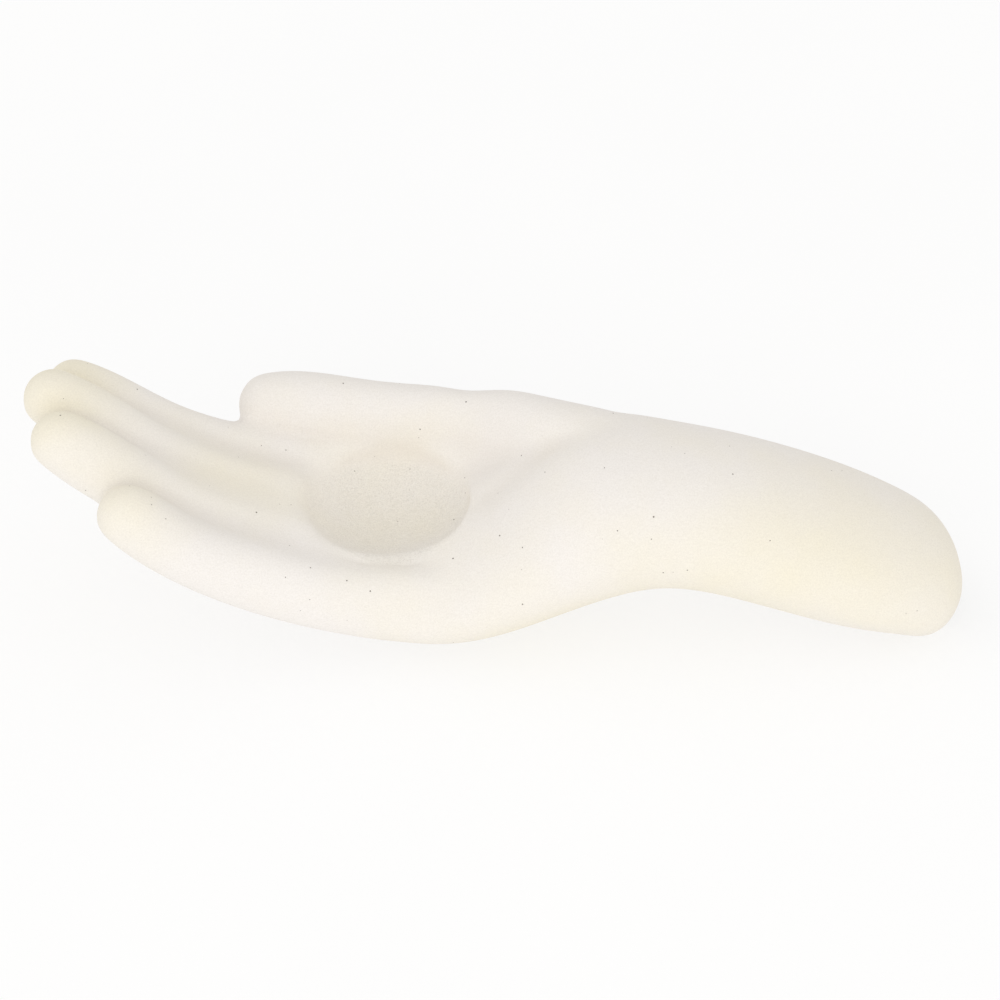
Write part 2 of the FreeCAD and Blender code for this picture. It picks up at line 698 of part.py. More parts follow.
def knuckle_clip():
    body = turned("knuckle_clip", KNUCKLE_PIN, ring_outline(
        "knuckle_pin - 0.65", "knuckle_pin + 2", "-(lug_end + 1.3)", "-(lug_end + 0.5)"))
    mouth = sketch_on(body, "XY_Plane", "-(lug_end + 2)")
    rectangle(mouth, "0", "-1.2", "8", "1.2")
    feature(body, "Pocket", mouth, "3", backwards=True)
    return body


def knuckle_washers():
    inner, outer = "barrel_half + 0.05", "lug_start - 0.05"
    return group("knuckle_washers", [
        turned("knuckle_washer_thumb_side", KNUCKLE_PIN,
               ring_outline("knuckle_bore", "knuckle_eye", inner, outer)),
        turned("knuckle_washer_little_side", KNUCKLE_PIN,
               ring_outline("knuckle_bore", "knuckle_eye", f"-({outer})", f"-({inner})")),
    ])


def knuckle_leaf():
    """Barrel on the knuckle pin, with a wide plate that carries the four finger wires."""
    sideways = shifted(FINGER_LEG, turn=((1, 0, 0), -90))
    thick = "5 - wire_radius - 0.1"
    barrel = rod("leaf_barrel", sideways, "knuckle_eye", "2 * barrel_half", z="-barrel_half")
    neck = box("leaf_neck", FINGER_LEG, "leaf_start + 1", "2 * barrel_half", thick, y="-barrel_half", z="-5")
    plate = box("leaf_plate", FINGER_LEG, "leaf_length", "2 * leaf_half_width", thick,
                x="leaf_start", y="-leaf_half_width", z="-5")
    bore = rod("leaf_bore", sideways, "knuckle_bore", "4 * barrel_half", z="-2 * barrel_half")
    return cut("knuckle_leaf", fused("leaf_blank", [barrel, neck, plate]), [bore] + clamp_holes("leaf_hole"))


def clamp_holes(name, radius="fine_hole", bottom="-7"):
    return [
        rod(f"{name}_{number}", FINGER_LEG, radius, "14",
            x="leaf_start + leaf_length / 2", y=f"{y}", z=bottom)
        for number, y in enumerate(CLAMP_SCREWS)
    ]


def wire_clamp_bar():
    """Bar over the four wires, with sunk holes so that its screws end flush."""
    bar = box("clamp_bar_blank", FINGER_LEG, "leaf_length - 1", "2 * leaf_half_width", "2.8",
              x="leaf_start + 0.5", y="-leaf_half_width", z="wire_radius + 0.1")
    holes = clamp_holes("clamp_hole") + clamp_holes("clamp_sink", "2.85", CLAMP_SINK)
    return cut("wire_clamp_bar", bar, holes)


def clamp_screws():
    along = SIZES["leaf_start"] + SIZES["leaf_length"] / 2
    under_head = SIZES["wire_radius"] + 1.3
    places = [shifted(FINGER_LEG, x=along, y=y, z=under_head) for y in CLAMP_SCREWS]
    return group("clamp_screws", [
        screw(f"clamp_screw_{number}", place, "fine_screw", "7.6", "2.75", "1.5")
        for number, place in enumerate(places)
    ])


# ---------------------------------------------------------------- wires


def swept(name, edges, radius):
    """Round bar along a chain of edges that meet smoothly."""
    path = doc.addObject("Part::Feature", name + "_path")
    path.Shape = Part.Wire(edges)
    start = edges[0].valueAt(edges[0].FirstParameter)
    heading = edges[0].tangentAt(edges[0].FirstParameter)
    section = doc.addObject("Part::Circle", name + "_section")
    hold(section, "Radius", radius)
    section.Placement = Placement(start, Rotation(Vector(0, 0, 1), heading))
    bar = doc.addObject("Part::Sweep", name)
    bar.Sections = [section]
    bar.Spine = (path, [f"Edge{number + 1}" for number in range(len(edges))])
    bar.Solid = True
    bar.Label = name
    return bar


def finger_line(stations):
    """Centre line of a finger wire: straight in the clamp, one gentle bend, straight again in its tip cap."""
    x, y, z, _, _, climb = stations[-1]
    tip = FINGER_LEG.inverse().multVec(towards_fingers(Vector(x, y, z), climb).multVec(Vector(3, 0, 0)))
    bend, cap_seat = 22.5, 3.2
    cap = tip.x - cap_seat
    steepest = 0.12 * (cap - bend)
    lift = max(-steepest, min(steepest, tip.z))
    corner, seat = Vector((bend + cap) / 2, tip.y, 0), Vector(cap, tip.y, lift)
    end = seat + (seat - corner).normalize() * cap_seat
    spots = [Vector(15, tip.y, 0), Vector(bend, tip.y, 0), corner, seat, end]
    start, first, turn, last, end = (FINGER_LEG.multVec(spot) for spot in spots)
    curve = Part.BezierCurve()
    curve.setPoles([first, turn, last])
    return [Part.LineSegment(start, first).toShape(), curve.toShape(), Part.LineSegment(last, end).toShape()]


def thumb_line():
    """Centre line of the thumb wire: from the anchor block, round the ball of the thumb, along the thumb."""
    points = [
        Vector(0, 13, 20.5), Vector(0, 16, 26), Vector(-1, 25, 38), Vector(-8, 35, 46),
        Vector(-24, 41.5, 49.5), Vector(-49, 45, 51), Vector(-76, 46, 54),
    ]
    curve = Part.BSplineCurve()
    curve.interpolate(points)
    return [curve.toShape()]


def end_of(edges):
    """Frame at a wire's end whose Z axis points back along the wire."""
    last = edges[-1]
    at = last.LastParameter
    return Placement(last.valueAt(at), Rotation(Vector(0, 0, 1), -last.tangentAt(at)))


def ball(name, edges, radius):
    """Sphere round a wire's end."""
    sphere = doc.addObject("Part::Sphere", name)
    hold(sphere, "Radius", radius)
    sphere.Placement = end_of(edges)
    return sphere


def tip_cap(name, edges):
    """Round cap over a wire's end, drilled for the wire."""
    drill = rod(name + "_drill", end_of(edges), "wire_radius + 0.08", "cap_radius + 1", z="-0.2")
    return cut(name, ball(name + "_ball", edges, "cap_radius"), [drill])


def thumb_anchor(edges):
    """Block on the palm plate that holds the root of the thumb wire."""
    block = Placement(THUMB_BLOCK, Rotation())
    blank = box("anchor_blank", block, "18", "12", "8", x="-9", y="-5")
    holes = [
        rod(f"anchor_hole_{number}", block, "fine_hole", "6", x=f"{x}", z="-1")
        for number, x in enumerate(THUMB_SCREWS)
    ]
    return cut("thumb_anchor", blank, holes + [swept("anchor_drill", edges, "wire_radius + 0.08")])


def thumb_anchor_screws():
    """Screws up through the palm plate into the block."""
    heads_down = Rotation(Vector(1, 0, 0), 180)
    places = [Placement(THUMB_BLOCK + Vector(x, 0, -3.2), heads_down) for x in THUMB_SCREWS]
    return group("thumb_anchor_screws", [
        screw(f"thumb_screw_{number}", place, "fine_screw", "7", "2.75", "1.6")
        for number, place in enumerate(places)
    ])


# ---------------------------------------------------------------- assembly

parts = [
    forearm_tube(), anchor_collar(), collar_screw(), wrist_fork(), wrist_pin(), disc_springs(), wrist_nut(),
    across_tube("fork_screws", "fork_screw_at", "stout_screw", "9"), rotation_housing(),
    across_tube("housing_screws", "housing_screw_at", "screw", "3.4"), friction_ring(), friction_screw(),
    rotation_spigot(), thrust_washer(), retaining_ring(), wrist_tongue(), friction_washers(), tongue_screws(),
    palm_plate(),
    knuckle_bracket(), bracket_screws(), knuckle_pin(), knuckle_clip(), knuckle_washers(), knuckle_leaf(),
    wire_clamp_bar(), clamp_screws(),
]

finger_lines = {name: finger_line(stations) for name, stations in FINGERS.items()}
thumb_edges = thumb_line()
parts += [swept(f"{name}_wire", edges, "wire_radius") for name, edges in finger_lines.items()]
parts += [swept("thumb_wire", thumb_edges, "wire_radius"), tip_cap("thumb_tip_cap", thumb_edges)]
finger_caps = [tip_cap(f"{name}_tip_cap", edges) for name, edges in finger_lines.items()]
parts += [group("finger_tip_caps", finger_caps)]
parts += [thumb_anchor(thumb_edges), thumb_anchor_screws()]


def tube_hollows():
    """Room in the forearm foam for the tube, the collar and the rotation unit."""
    gap = "foam_gap"
    return [
        rod("tube_room", FOREARM, f"tube_radius + {gap}", "tube_end - 8", z="8"),
        fork_room(),
        rod("collar_room", FOREARM, f"collar_radius + {gap}", f"collar_length + 2 * {gap}",
            z=f"collar_start - {gap}"),
        rod("housing_room", FOREARM, f"housing_radius + {gap}", f"housing_end - tube_end + 2 * {gap}",
            z=f"tube_end - {gap}"),
        rod("stud_opening", FOREARM, "spigot_flange + 0.9", "40", z="housing_end"),
    ]


def fork_room():
    """Room for the square shoulders of the wrist fork."""
    reach, half = "cheek_radius + foam_gap", "fork_gap + cheek_thickness + foam_gap"
    return box("fork_room", FOREARM, f"2 * ({reach})", f"2 * ({half})", "tube_start - 3 + foam_gap",
               x=f"-({reach})", y=f"-({half})")


def palm_hollows():
    """Room for the palm plate, the tongue, the thumb anchor and the knuckle bracket."""
    half = "plate_half_width + foam_gap"
    width = f"2 * ({half})"
    block = Placement(THUMB_BLOCK, Rotation())
    return [
        box("wrist_leg_room", PALM_LEG, "44", width, "11.5", x="10", y=f"-({half})", z="-6"),
        box("level_room", PALM_FLAT, f"{PALM_BEND.x - PALM_RISE.x + 5}", width, "5",
            x="-4", y=f"-({half})", z="-2"),
        box("knuckle_leg_room", KNUCKLE_LEG, "54", width, "9.6", x="-60", y=f"-({half})", z="-2.6"),
        box("anchor_room", block, "19", "13", "14.6", x="-9.5", y="-5.5", z="-5.6"),
        box("lug_room", KNUCKLE_LEG, "8", "2 * (lug_end + foam_gap)", "3", x="-14", y="-(lug_end + foam_gap)",
            z="-4.4"),
    ]


def wire_hollows(name, edges):
    """Room for a wire, with a square-ended room round its tip cap."""
    reach = "cap_radius + foam_gap"
    return [
        swept(f"{name}_foam_room", edges, "wire_radius + foam_gap"),
        rod(f"{name}_cap_room", end_of(edges), reach, f"2 * ({reach})", z=f"-({reach})"),
    ]


def knuckle_hollow(name):
    """Room for the knuckle hinge between its two bending faces."""
    half = "plate_half_width + foam_gap"
    return box(name, KNUCKLE_LEG, "34", f"2 * ({half})", "2 * knuckle_eye + 0.8", x="-18", y=f"-({half})",
               z="-knuckle_eye - 0.4")


def leaf_hollow():
    half = "leaf_half_width + foam_gap"
    return box("leaf_room", FINGER_LEG, "leaf_length + 1", f"2 * ({half})", "10.2", x="leaf_start - 0.5",
               y=f"-({half})", z="-5.4")


outer = outer_form()
wrist_capsule = rod("wrist_capsule", WRIST_PIN, "flex_wrist - 0.5", "46", z="-22")
at_wrist, at_knuckles = f"{WRIST.x}", f"{KNUCKLES.x}"
finger_rooms = [room for name, line in finger_lines.items() for room in wire_hollows(name, line)]
parts += [
    foam_part("forearm_foam", outer, f"{at_wrist} + flex_wrist", "220", tube_hollows()),
    foam_part("wrist_foam", outer, f"{at_wrist} - flex_wrist", f"{at_wrist} + flex_wrist",
              [wrist_capsule] + tube_hollows()[:2] + palm_hollows()[:1]),
    foam_part("palm_foam", outer, f"{at_knuckles} + flex_knuckle", f"{at_wrist} - flex_wrist",
              palm_hollows() + wire_hollows("thumb", thumb_edges)),
    foam_part("knuckle_foam", outer, f"{at_knuckles} - flex_knuckle", f"{at_knuckles} + flex_knuckle",
              [knuckle_hollow("knuckle_room")]),
    foam_part("finger_foam", outer, "-220", f"{at_knuckles} - flex_knuckle",
              [knuckle_hollow("knuckle_room_far"), leaf_hollow()] + finger_rooms),
]

doc.recompute()

# The hand is laid out about the line between its middle and ring fingers.
# The origin goes to the middle of the underside of its box.
FOOTPRINT_MIDDLE = Vector(2.34, 8.12, 0.51)
for part in parts:
    part.Placement = Placement(-FOOTPRINT_MIDDLE, Rotation()) * part.Placement

for item in doc.Objects:
    if "Invalid" in item.State or "Error" in item.State:
        raise RuntimeError(f"{item.Name} failed: {item.State}")
os.makedirs("parts", exist_ok=True)
box_of_all = FreeCAD.BoundBox()
for part in parts:
    shape = part.Shape
    if shape.isNull() or not shape.isValid() or not shape.Solids:
        raise RuntimeError(f"{part.Label} has no valid solid")
    shape.exportStep(f"parts/{part.Label}.step")
    box_of_all.add(shape.BoundBox)
    print(part.Label, len(shape.Solids), round(shape.Volume, 1))
print(len(parts), "nodes in", box_of_all)
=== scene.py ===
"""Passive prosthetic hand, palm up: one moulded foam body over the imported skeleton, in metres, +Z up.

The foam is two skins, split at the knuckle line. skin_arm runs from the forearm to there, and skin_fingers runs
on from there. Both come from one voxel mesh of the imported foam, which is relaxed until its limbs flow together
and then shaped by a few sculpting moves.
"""
import json
import math

import bmesh
import bpy
import numpy as np
from mathutils import Matrix, Vector


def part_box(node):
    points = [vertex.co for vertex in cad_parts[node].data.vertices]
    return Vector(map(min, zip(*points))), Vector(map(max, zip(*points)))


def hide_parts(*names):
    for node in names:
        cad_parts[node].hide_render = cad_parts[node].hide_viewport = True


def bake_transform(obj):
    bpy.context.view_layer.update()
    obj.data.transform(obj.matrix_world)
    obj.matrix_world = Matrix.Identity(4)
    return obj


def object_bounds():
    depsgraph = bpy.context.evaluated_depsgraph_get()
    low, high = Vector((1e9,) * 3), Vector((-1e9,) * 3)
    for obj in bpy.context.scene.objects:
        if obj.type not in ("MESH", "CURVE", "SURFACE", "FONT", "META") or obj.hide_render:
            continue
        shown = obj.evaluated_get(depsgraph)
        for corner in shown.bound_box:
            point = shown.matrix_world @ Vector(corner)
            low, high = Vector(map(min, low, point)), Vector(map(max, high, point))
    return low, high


MM = 0.001
VOXEL = 1.2 * MM

FOAM_NODES = ("forearm_foam", "wrist_foam", "palm_foam", "knuckle_foam", "finger_foam")

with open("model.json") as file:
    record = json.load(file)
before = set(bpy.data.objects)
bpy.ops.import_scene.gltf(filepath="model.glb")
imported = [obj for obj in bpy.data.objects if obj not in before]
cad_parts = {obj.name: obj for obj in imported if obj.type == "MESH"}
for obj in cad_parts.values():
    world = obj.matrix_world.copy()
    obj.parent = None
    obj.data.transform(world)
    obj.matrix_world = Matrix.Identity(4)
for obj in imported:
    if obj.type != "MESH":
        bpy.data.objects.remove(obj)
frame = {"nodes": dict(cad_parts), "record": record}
cad_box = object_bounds()


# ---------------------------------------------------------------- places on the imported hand

def middle(node):
    low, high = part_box(node)
    return (low + high) / 2


WRIST = middle("friction_washers")
ARM_AXIS = (middle("forearm_tube") - WRIST).normalized()  # down the forearm, away from the wrist
# Point under the palm, on its middle line. Sculpted places are millimetres from here.
PALM = WRIST - Vector((50, 0, 45.5)) * MM
PALM_SIDE = 24  # height above which the skin is on the palm's side
RECESS = Vector((-37.5, 3.5, 36))  # middle of the round palm recess
RECESS_RADIUS = 29.0
RECESS_FAR_RADIUS = 27.0  # towards the thumb, where the recess's wall runs out into the ball of the thumb
STUD_RADIUS = 13.0  # opening in the forearm end, round the mounting spigot
STUD_OPENING = (104.0, 140.0)  # its floor and mouth, down the forearm from the wrist pin
STUD_STOPPER = (60.0, 109.0)  # what closes it while the skin is made, a little wider
STOPPER_RADIUS = STUD_RADIUS + 0.8


def along_arm(distance):
    return WRIST + ARM_AXIS * distance * MM


# ---------------------------------------------------------------- skin mesh

def placed(name, data):
    """New object in the scene."""
    made = bpy.data.objects.new(name, data)
    bpy.context.scene.collection.objects.link(made)
    return made


def object_from(bm, name):
    mesh = bpy.data.meshes.new(name)
    bm.to_mesh(mesh)
    bm.free()
    return placed(name, mesh)


def arm_cylinder(bm, span, radius):
    """Closed cylinder round the forearm's axis."""
    first, last = (along_arm(distance) for distance in span)
    place = Matrix.Translation((first + last) / 2) @ ARM_AXIS.to_track_quat("Z", "Y").to_matrix().to_4x4()
    bmesh.ops.create_cone(bm, cap_ends=True, segments=96, radius1=radius * MM, radius2=radius * MM,
                          depth=(last - first).length, matrix=place)


def joined_foam():
    """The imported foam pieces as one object, its stud opening stopped up so that every cavity is closed."""
    bm = bmesh.new()
    for node in FOAM_NODES:
        bm.from_mesh(frame["nodes"][node].data)
    arm_cylinder(bm, STUD_STOPPER, STOPPER_RADIUS)
    return object_from(bm, "foam_stock")


def applied(source, name):
    """Copy of an object with its modifiers applied; the source goes."""
    shapes = bpy.context.evaluated_depsgraph_get()
    mesh = bpy.data.meshes.new_from_object(source.evaluated_get(shapes))
    bpy.data.objects.remove(source)
    return placed(name, mesh)


def voxel_mesh(stock):
    remesh = stock.modifiers.new("voxels", "REMESH")
    remesh.mode = "VOXEL"
    remesh.voxel_size = VOXEL
    made = applied(stock, "foam_skin")
    keep_largest(made.data)
    return made


def keep_largest(mesh):
    """Drops loose specks left by the voxels."""
    bm = bmesh.new()
    bm.from_mesh(mesh)
    bm.verts.ensure_lookup_table()
    unseen, islands = set(range(len(bm.verts))), []
    while unseen:
        queue = [unseen.pop()]
        island = list(queue)
        while queue:
            vert = bm.verts[queue.pop()]
            for edge in vert.link_edges:
                other = edge.other_vert(vert).index
                if other in unseen:
                    unseen.discard(other)
                    queue.append(other)
                    island.append(other)
        islands.append(island)
    islands.sort(key=len)
    specks = [bm.verts[index] for island in islands[:-1] for index in island]
    bmesh.ops.delete(bm, geom=specks, context="VERTS")
    bm.to_mesh(mesh)
    bm.free()


class Clay:
    """A mesh's points as an array, in millimetres from PALM, with the moves used to sculpt it."""

    def __init__(self, mesh):
        self.mesh = mesh
        self.points = points_of(mesh)
        edges = np.empty(len(mesh.edges) * 2, np.int32)
        mesh.edges.foreach_get("vertices", edges)
        self.near, self.far = edges.reshape(-1, 2).T
        self.degree = np.bincount(np.concatenate((self.near, self.far)), minlength=len(self.points))

    def write(self):
        self.mesh.vertices.foreach_set("co", (self.points * MM + np.array(PALM)).ravel())
        self.mesh.update()

    def normals(self):
        self.write()
        normals = np.empty(len(self.points) * 3, np.float32)
        self.mesh.vertex_normals.foreach_get("vector", normals)
        return normals.reshape(-1, 3).astype(float)

    def pull(self):
        """Step from each point to the mean of its neighbours."""
        mean = np.empty_like(self.points)
        for axis in range(3):
            values = self.points[:, axis]
            total = np.bincount(self.near, values[self.far], len(values))
            total += np.bincount(self.far, values[self.near], len(values))
            mean[:, axis] = total / self.degree
        return mean - self.points

    def relax(self, rounds, weight):
        weight = np.broadcast_to(weight, len(self.points))[:, None]
        for _ in range(rounds):
            self.points += weight * self.pull()

    def fill(self, rounds, weight, limit):
        """Raises hollows only, by at most the limit: grooves soften and crowns keep their height."""
        start = self.points.copy()
        weight = np.broadcast_to(weight, len(self.points))
        for step in range(rounds):
            if step % 5 == 0:
                normals = self.normals()
            pull = self.pull()
            rise = np.einsum("ij,ij->i", pull, normals)
            slide = pull - normals * rise[:, None]
            self.points += weight[:, None] * (normals * np.maximum(rise, 0)[:, None] + 0.3 * slide)
            moved = self.points - start
            length = np.linalg.norm(moved, axis=1)
            over = length > limit
            self.points[over] = start[over] + moved[over] * (limit / length[over])[:, None]

    def swell(self, share, height):
        """Moves points out along their normals, or in for a negative height."""
        self.points += self.normals() * (share * height)[:, None]


def points_of(mesh):
    """A mesh's points in millimetres from PALM."""
    points = np.empty(len(mesh.vertices) * 3)
    mesh.vertices.foreach_get("co", points)
    return (points.reshape(-1, 3) - np.array(PALM)) / MM


def smooth_between(low, high, values):
    share = np.clip((values - low) / (high - low), 0, 1)
    return share * share * (3 - 2 * share)


def bell(distance, width):
    """1 at no distance, 0.37 at the width, and near 0 from twice the width on."""
    return np.exp(-((distance / width) ** 2))


def blob(points, centre, reach):
    """Soft blob round a place, with its own reach on each axis."""
    return bell(np.linalg.norm((points - np.array(centre)) / np.array(reach), axis=1), 1)


def near_line(points, start, end, width):
    """Soft band along a line in plan."""
    start, along = np.array(start), np.array(end) - np.array(start)
    share = np.clip((points[:, :2] - start) @ along / (along @ along), 0, 1)
    return bell(np.linalg.norm(points[:, :2] - start - share[:, None] * along, axis=1), width)


def from_recess(points):
    """Distance of each point from the recess's middle, and which points are on the palm's side.

    Towards the thumb the distance is stretched, so that the recess's edge is RECESS_RADIUS away all round.
    """
    aside = points[:, 1] - RECESS.y
    aside = np.where(aside > 0, aside * RECESS_RADIUS / RECESS_FAR_RADIUS, aside)
    return np.hypot(points[:, 0] - RECESS.x, aside), points[:, 2] > PALM_SIDE


CRISP_FROM = (-30, -12)  # along X from the recess's middle, where its melting rim turns crisp
RIM_WIDTH = 2.2  # band along the recess's rim that hardly relaxes
MELT_WIDTH = 7.0  # band along its finger side that relaxes much more
RECESS_CALM = 0.6  # how much less the floor beside the crisp rim relaxes
ARM_END = (146, 158)  # along X, where the rounding of the forearm's end sets in
GROOVE_FILL = 2.0  # the most that a groove between two limbs is raised
BROAD_SHAPE = 36  # relaxing rounds that leave only the skin's broad shape
THUMB_FOOT = ((12, 22, 47), (18, 11, 14))  # lower edge of the ball of the thumb, and its reach on each axis
VALLEY = ((-2, -1), (36, 13))  # ends, in plan, of the faint valley from the recess to the wrist
VALLEY_WIDTH, VALLEY_DEPTH = 6.5, 1.2
SWELLINGS = (
    # where, reach on each axis, how far out (in, if negative)
    ((-9, 45, 58), (9, 20, 18), -1.3),  # dip on the thumb side of the heel
    ((9, 42, 58), (8, 20, 18), 0.5),  # small bump after it
    ((44, 32, 62), (13, 20, 18), 1.3),  # no hollow where the forearm begins
    ((165, 8, 26), (9, 22, 12), -2.4),  # rounder forearm end on its upper thumb side
)


def towards_heel(points):
    """0 at the recess's finger side, where its rim melts away, to 1 where the rim is crisp."""
    return smooth_between(*CRISP_FROM, points[:, 0] - RECESS.x)


def recess_weights(points):
    """How freely each point may relax, and how much more it does so where the recess's rim melts away."""
    across, palm_side = from_recess(points)
    crisp = towards_heel(points)
    freedom = 1 - 0.9 * bell(across - RECESS_RADIUS, RIM_WIDTH) * palm_side * crisp
    inside = (across < RECESS_RADIUS + 1) & palm_side
    freedom[inside] *= 1 - RECESS_CALM * crisp[inside]
    melting = bell(across - RECESS_RADIUS, MELT_WIDTH) * palm_side * (1 - crisp)
    return freedom, melting


def sculpt(clay):
    """Lets the limbs flow together, then shapes the places where the moulding has a form of its own."""
    freedom, melting = recess_weights(clay.points)
    arm_end = smooth_between(*ARM_END, clay.points[:, 0])
    clay.relax(6, 0.5 * freedom)  # takes off the voxel steps
    clay.fill(28, 0.6 * freedom, GROOVE_FILL)
    clay.relax(40, 0.5 * np.maximum(melting, arm_end))
    palm_valley(clay)
    for where, reach, height in SWELLINGS:
        clay.swell(blob(clay.points, where, reach), height)
    clay.relax(8, 0.4 * freedom)  # blends the moves in
    clay.write()


def palm_valley(clay):
    """Flattens the ball of the thumb's lower edge, and presses in the valley from the recess to the wrist."""
    clay.relax(70, 0.5 * blob(clay.points, *THUMB_FOOT))
    _, palm_side = from_recess(clay.points)
    clay.swell(near_line(clay.points, *VALLEY, VALLEY_WIDTH) * palm_side, -VALLEY_DEPTH)


def mark_hollows(clay):
    """Point attribute: millimetres that each point lies under the skin's broad shape, outside the recess; the
    foam material paints shade in the hollows by it.
    """
    start, normals = clay.points.copy(), clay.normals()
    clay.relax(BROAD_SHAPE, 0.9)
    depth = np.einsum("ij,ij->i", clay.points - start, normals)
    clay.points = start
    clay.write()
    across, palm_side = from_recess(start)
    outside = 1 - palm_side * (1 - smooth_between(RECESS_RADIUS - 3, RECESS_RADIUS + 3, across))
    write_attribute(clay.mesh, "hollow", np.maximum(depth, 0) * outside)


def write_attribute(mesh, name, values):
    attribute = mesh.attributes.new(name, "FLOAT", "POINT")
    attribute.data.foreach_set("value", values.astype(np.float32))


def stud_opening(skin):
    """Cuts the opening for the mounting spigot back into the forearm end."""
    bm = bmesh.new()
    arm_cylinder(bm, STUD_OPENING, STUD_RADIUS)
    cutter = object_from(bm, "opening_cutter")
    cut = skin.modifiers.new("opening", "BOOLEAN")
    cut.operation = "DIFFERENCE"
    cut.solver = "EXACT"
    cut.object = cutter
    made = applied(skin, "foam_skin")
    bpy.data.objects.remove(cutter)
    return made


def half(skin, name, plane_x, keep_fingers):
    """The part of the skin on one side of a cross plane, closed there."""
    bm = bmesh.new()
    bm.from_mesh(skin.data)
    geometry = bm.verts[:] + bm.edges[:] + bm.faces[:]
    cut = bmesh.ops.bisect_plane(bm, geom=geometry, dist=1e-7, plane_co=(plane_x, 0, 0), plane_no=(1, 0, 0),
                                 clear_outer=keep_fingers, clear_inner=not keep_fingers)
    rim = [item for item in cut["geom_cut"] if isinstance(item, bmesh.types.BMEdge)]
    caps = bmesh.ops.holes_fill(bm, edges=rim, sides=0)["faces"]
    for face in bm.faces:
        face.smooth = True
    for face in caps:
        face.smooth = False
        for edge in face.edges:
            edge.smooth = False
    bmesh.ops.recalc_face_normals(bm, faces=bm.faces[:])
    return object_from(bm, name)


# ---------------------------------------------------------------- materials

class Nodes:
    """Short-hand for a material's node tree."""

    def __init__(self, name):
        self.material = bpy.data.materials.new(name)
        self.material.use_nodes = True
        self.tree = self.material.node_tree
        self.shader = self.tree.nodes["Principled BSDF"]

    def add(self, kind, **settings):
        """New node; settings name its properties, or its inputs with spaces as underscores."""
        node = self.tree.nodes.new(kind)
        for key, value in settings.items():
            if hasattr(node, key):
                setattr(node, key, value)
            else:
                self.feed(node, key.replace("_", " "), value)
        return node

    def feed(self, node, socket, value):
        target = node.inputs[socket]
        if isinstance(value, bpy.types.NodeSocket):
            self.tree.links.new(value, target)
        else:
            target.default_value = value

    def maths(self, operation, first, second=0.0, third=0.0):
        node = self.add("ShaderNodeMath", operation=operation)
        for index, value in enumerate((first, second, third)):
            self.feed(node, index, value)
        return node.outputs[0]

    def place(self):
        return self.add("ShaderNodeTexCoord").outputs["Object"]

    def mask(self, name):
        """One of the skin's point attributes."""
        return self.add("ShaderNodeAttribute", attribute_name=name).outputs["Fac"]

    def noise(self, scale, detail=3.0, roughness=0.5):
        return self.add("ShaderNodeTexNoise", Vector=self.place(), Scale=scale, Detail=detail,
                        Roughness=roughness).outputs["Fac"]

    def ranged(self, value, low, high, to_low=0.0, to_high=1.0):
        node = self.add("ShaderNodeMapRange")
        for index, item in enumerate((value, low, high, to_low, to_high)):
            self.feed(node, index, item)
        return node.outputs[0]

    def blend(self, share, first, second):
        node = self.add("ShaderNodeMix", data_type="RGBA")
        self.feed(node, 0, share)
        self.feed(node, 6, first)
        self.feed(node, 7, second)
        return node.outputs[2]

    def raised(self, height, strength, distance, under=None):
        node = self.add("ShaderNodeBump", Height=height, Strength=strength, Distance=distance)
        if under is not None:
            self.feed(node, "Normal", under)
        return node.outputs[0]


def tone(red, green, blue):
    return (red, green, blue, 1.0)


FRESH_FOAM, WARM_FOAM = tone(0.86, 0.825, 0.79), tone(0.86, 0.805, 0.655)
BARE_FOAM = tone(0.78, 0.74, 0.66)  # open cells, in the recess
HOLLOW_SHADE = tone(0.62, 0.55, 0.49)  # painted shade in the hollows
GRAIN, PINHOLE = tone(0.50, 0.46, 0.40), tone(0.16, 0.14, 0.11)


def foam_material():
    """Off-white integral-skin foam: cream in warmer patches, sandy grain, scattered pinholes."""
    n = Nodes("foam")
    bare, grain, coarse, pit = n.mask("bare_cells"), n.noise(1900, 3, 0.6), n.noise(420, 2, 0.5), pinholes(n)
    n.feed(n.shader, "Base Color", foam_colour(n, bare, grain, pit))
    n.feed(n.shader, "Roughness", n.ranged(coarse, 0.3, 0.7, 0.78, 0.92))
    n.feed(n.shader, "Specular IOR Level", 0.25)
    relief = n.raised(grain, n.ranged(bare, 0, 1, 0.22, 0.55), 0.0006)
    relief = n.raised(coarse, n.ranged(bare, 0, 1, 0.10, 0.35), 0.0012, relief)
    relief = n.raised(n.maths("SUBTRACT", 1.0, pit), 0.6, 0.0006, relief)
    n.feed(n.shader, "Normal", relief)
    return n.material


def pinholes(n):
    """1 in the round holes round some of the cells' middles, 0 outside them."""
    cells = n.add("ShaderNodeTexVoronoi", Vector=n.place(), Scale=250.0)
    chance = n.add("ShaderNodeSeparateColor", Color=cells.outputs["Color"]).outputs[0]
    size = n.ranged(chance, 0.45, 1.0, 0.0, 0.09)
    hole = n.add("ShaderNodeMapRange", interpolation_type="SMOOTHSTEP")
    for index, item in enumerate((n.maths("SUBTRACT", size, cells.outputs["Distance"]), 0.0, 0.03)):
        n.feed(hole, index, item)
    return hole.outputs[0]


